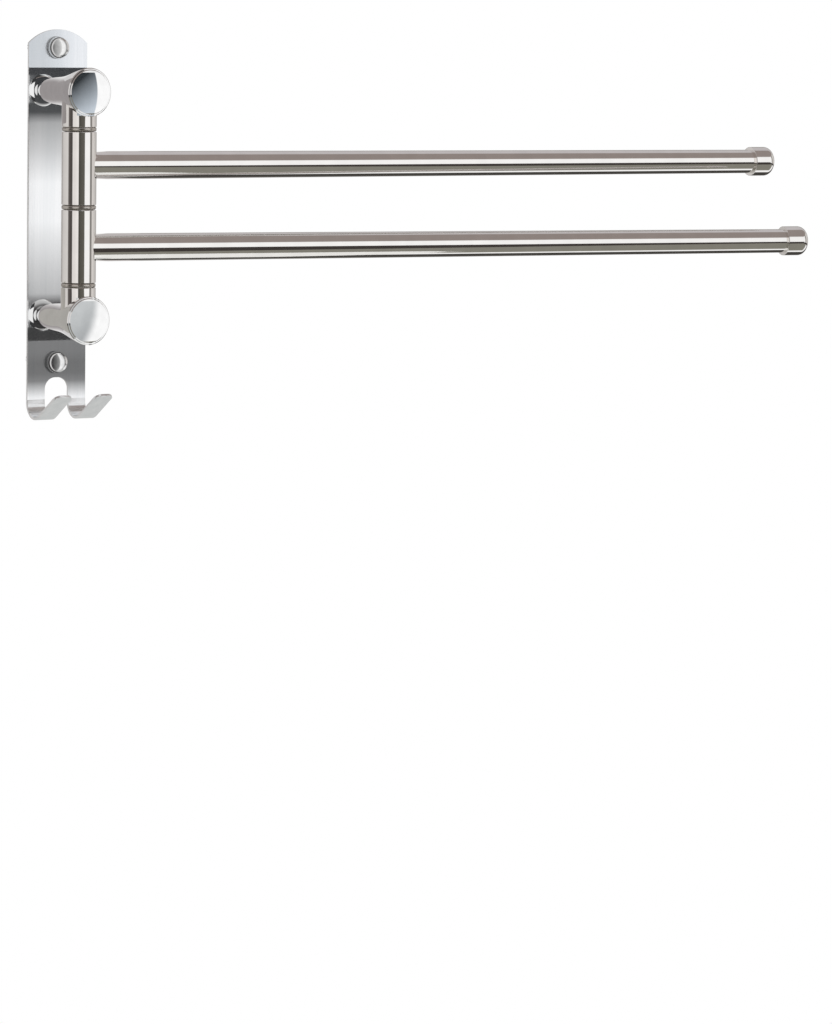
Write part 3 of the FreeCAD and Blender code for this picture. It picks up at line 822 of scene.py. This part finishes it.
# Small cards close in front of the posts' end caps, which paint the caps' reflections: a painted highlight in
# white on one side of a leaning edge, and painted shade in tones from the lower right to the upper left on
# the other, from slantFrom to slantTo in shares of the card.
capCard = dict(size=(34, 26), x=3.0, y=-59.3, drop=0.5, strength=1.12, slantFrom=0.35, slantTo=-0.6)
capCards = {
    "upperCapCard": dict(
        side=1, lowerRight="#c3ccd5", upperLeft="#2e3235", edgeAt=0.05, softness=0.012, lean=0.0,
    ),
    "lowerCapCard": dict(
        side=-1, lowerRight="#a9acae", upperLeft="#c6c9ca", edgeAt=0.0, softness=0.12, lean=0.25,
    ),
}
# One card lies flat under the hooks, for the undersides of their tongues: it paints a plain grey reflection
# on them.
hookCard = dict(place=(12, -20, -132), size=(76, 50), colour="#c9cac8")


# A card of its own material, whose node tree is handed back empty.
def addCard(name, place, size, disc=False, turn=-math.pi / 2):
    deselectAll()
    settings = dict(location=Vector(place) * mm, rotation=(turn, 0, 0))
    if disc:
        bpy.ops.mesh.primitive_circle_add(vertices=64, radius=0.5, fill_type="NGON", **settings)
    else:
        bpy.ops.mesh.primitive_plane_add(size=1, **settings)
    card = nameIt(name)
    card.scale = (size[0] * mm, size[1] * mm, 1)
    card.visible_camera = False
    card.visible_diffuse = False
    card.visible_shadow = False
    material = bpy.data.materials.new(name)
    material.use_nodes = True
    material.node_tree.nodes.clear()
    card.data.materials.append(material)
    return material.node_tree


# Lets a card glow, in one colour or in one that its nodes make.
def finishCard(tree, inputs, links=None):
    glow = addNode(tree, "ShaderNodeEmission", None, inputs, links)
    addNode(tree, "ShaderNodeOutputMaterial", links={0: glow.outputs[0]})


def makePlateCards():
    for name, card in plateCards.items():
        left, right = card["span"]
        low, high = card["height"]
        middle = ((left + right) / 2, card["y"], (low + high) / 2)
        tree = addCard(name, middle, (right - left, high - low), card.get("disc", False))
        place = addNode(tree, "ShaderNodeTexCoord")
        parts = addNode(tree, "ShaderNodeSeparateXYZ", links={0: place.outputs["Object"]})
        # the card is turned to face the wall, so its own Y runs down
        rise = addNode(tree, "ShaderNodeMath", {"operation": "SUBTRACT"}, {0: 0.5}, {1: parts.outputs["Y"]})
        across = addNode(tree, "ShaderNodeMath", {"operation": "ADD"}, {1: 0.5}, {0: parts.outputs["X"]})
        up = card["run"] == "up"
        along = rise if up else across
        front = addNode(tree, "ShaderNodeValToRGB", links={"Fac": along.outputs[0]})
        fillRamp(front, card["tones"], *(card["height"] if up else card["span"]))
        back = addNode(tree, "ShaderNodeValToRGB", links={"Fac": across.outputs[0]})
        fillRamp(back, card["backTones"], left, right)
        side = addNode(tree, "ShaderNodeNewGeometry")
        both = addNode(tree, "ShaderNodeMix", {"data_type": "RGBA"},
                       links={0: side.outputs["Backfacing"], 6: front.outputs[0], 7: back.outputs[0]})
        finishCard(tree, {"Strength": 1.0}, {"Color": both.outputs[2]})


def makeHookCard():
    tree = addCard("hookCard", hookCard["place"], hookCard["size"], turn=0)
    finishCard(tree, {"Color": toLinear(hookCard["colour"]), "Strength": 1.0})


def makeCapCards():
    for name, card in capCards.items():
        centre = (post["x"] + capCard["x"], capCard["y"], card["side"] * post["z"] - capCard["drop"])
        tree = addCard(name, centre, capCard["size"])
        place = addNode(tree, "ShaderNodeTexCoord")
        parts = addNode(tree, "ShaderNodeSeparateXYZ", links={0: place.outputs["Object"]})
        # from the lower right, where X and the downward Y are greatest, to the upper left
        slant = addNode(tree, "ShaderNodeMath", {"operation": "ADD"},
                        links={0: parts.outputs["X"], 1: parts.outputs["Y"]})
        share = addNode(tree, "ShaderNodeMapRange",
                        inputs={"From Min": capCard["slantFrom"], "From Max": capCard["slantTo"]},
                        links={"Value": slant.outputs[0]})
        tones = addNode(tree, "ShaderNodeMix", {"data_type": "RGBA"},
                        inputs={6: toLinear(card["lowerRight"]), 7: toLinear(card["upperLeft"])},
                        links={0: share.outputs[0]})
        lean = addNode(tree, "ShaderNodeMath", {"operation": "MULTIPLY_ADD"}, {1: card["lean"]},
                       {0: parts.outputs["Y"], 2: parts.outputs["X"]})
        low, high = card["edgeAt"] - card["softness"], card["edgeAt"] + card["softness"]
        edge = addNode(tree, "ShaderNodeMapRange", {"interpolation_type": "SMOOTHSTEP"},
                       {"From Min": low, "From Max": high}, {"Value": lean.outputs[0]})
        lit = addNode(tree, "ShaderNodeMix", {"data_type": "RGBA"}, {7: (1, 1, 1, 1)},
                      {0: edge.outputs[0], 6: tones.outputs[2]})
        finishCard(tree, {"Strength": capCard["strength"]}, {"Color": lit.outputs[2]})


# Seen from the left and a little above, with a long lens. The place is in metres, and the angles in degrees.
view = dict(place=(-1.449941, -2.586576, 0.121152), turn=33.349, tilt=5.765, roll=-0.724, lens=179.30)


def makeCamera():
    camera = bpy.data.objects.new("camera", bpy.data.cameras.new("camera"))
    bpy.context.scene.collection.objects.link(camera)
    camera.data.lens = view["lens"]
    camera.data.sensor_width = 36
    camera.data.clip_start = 0.05
    camera.data.clip_end = 50
    turn = Matrix.Rotation(math.radians(-view["turn"]), 4, "Z")
    tilt = Matrix.Rotation(math.radians(90 - view["tilt"]), 4, "X")
    roll = Matrix.Rotation(math.radians(-view["roll"]), 4, "Z")
    camera.matrix_world = Matrix.Translation(view["place"]) @ turn @ tilt @ roll
    bpy.context.scene.camera = camera


makeWorld()
makeFloor()
makePlateCards()
makeHookCard()
makeCapCards()
makeCamera()
bpy.context.scene.view_settings.view_transform = "Standard"
print("studio made")
